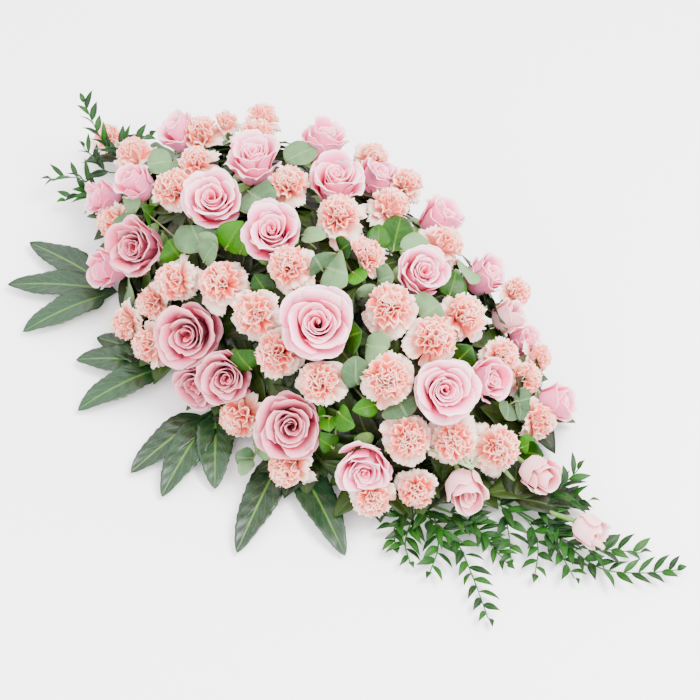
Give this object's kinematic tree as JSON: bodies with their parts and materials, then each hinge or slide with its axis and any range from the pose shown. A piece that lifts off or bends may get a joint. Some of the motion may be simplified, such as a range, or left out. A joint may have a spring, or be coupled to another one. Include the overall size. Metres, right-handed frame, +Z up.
{
  "type": "funeral flower arrangement",
  "caption": "Single-ended spray of pink roses and salmon spray carnations with mixed foliage, tapering to trailing ruscus, in wet foam in a low tray.",
  "frame": {"origin": "centre of the tray's flat underside", "axes": "+X along the spray towards its pointed, trailing end; +Z up; the hand-shaped leaves lie on the -Y side"},
  "size_m": [0.9223, 0.4544, 0.2254],
  "materials": {
    "rose_pink": "matte, soft pink petals",
    "rose_blush": "matte, pale blush bud petals",
    "carnation_salmon": "matte, salmon petals",
    "leaf_broad": "satin, bright green leaf",
    "leaf_eucalyptus": "matte, waxy grey-green leaf",
    "leaf_aralia": "satin, deep blue-green leaf",
    "leaf_ruscus": "satin, mid green leaf",
    "stem_green": "matte, green stem",
    "foam": "matte, dark green wet foam",
    "tray": "matte, dark green plastic"
  },
  "bodies": {
    "root": {"aralia_leaf_1": "leaf_aralia", "aralia_leaf_2": "leaf_aralia", "aralia_leaf_3": "leaf_aralia", "aralia_leaf_4": "leaf_aralia", "broad_leaf_spray_1": "leaf_broad", "broad_leaf_spray_2": "leaf_broad", "broad_leaf_spray_3": "leaf_broad", "broad_leaf_spray_4": "leaf_broad", "broad_leaf_spray_5": "leaf_broad", "carnation_spray_01": "carnation_salmon", "carnation_spray_02": "carnation_salmon", "carnation_spray_03": "carnation_salmon", "carnation_spray_04": "carnation_salmon", "carnation_spray_05": "carnation_salmon", "carnation_spray_06": "carnation_salmon", "carnation_spray_07": "carnation_salmon", "carnation_spray_08": "carnation_salmon", "carnation_spray_09": "carnation_salmon", "carnation_spray_10": "carnation_salmon", "eucalyptus_spray_1": "leaf_eucalyptus", "eucalyptus_spray_2": "leaf_eucalyptus", "eucalyptus_spray_3": "leaf_eucalyptus", "eucalyptus_spray_4": "leaf_eucalyptus", "eucalyptus_spray_5": "leaf_eucalyptus", "eucalyptus_spray_6": "leaf_eucalyptus", "eucalyptus_spray_7": "leaf_eucalyptus", "eucalyptus_spray_8": "leaf_eucalyptus", "foam_block": "foam", "rose_01": "rose_pink", "rose_02": "rose_pink", "rose_03": "rose_pink", "rose_04": "rose_pink", "rose_05": "rose_pink", "rose_06": "rose_pink", "rose_07": "rose_pink", "rose_08": "rose_pink", "rose_09": "rose_pink", "rose_10": "rose_pink", "rose_11": "rose_pink", "rose_12": "rose_pink", "rose_13": "rose_pink", "rose_14": "rose_pink", "rose_15": "rose_blush", "rose_16": "rose_pink", "rose_17": "rose_pink", "rose_18": "rose_pink", "rose_19": "rose_pink", "rose_20": "rose_pink", "rose_21": "rose_pink", "rose_22": "rose_pink", "rose_23": "rose_pink", "rose_24": "rose_pink", "rose_25": "rose_pink", "rose_26": "rose_blush", "rose_27": "rose_blush", "rose_28": "rose_blush", "ruscus_spray_1": "leaf_ruscus", "ruscus_spray_2": "leaf_ruscus", "ruscus_spray_3": "leaf_ruscus", "tray": "tray"}
  },
  "joints": []
}
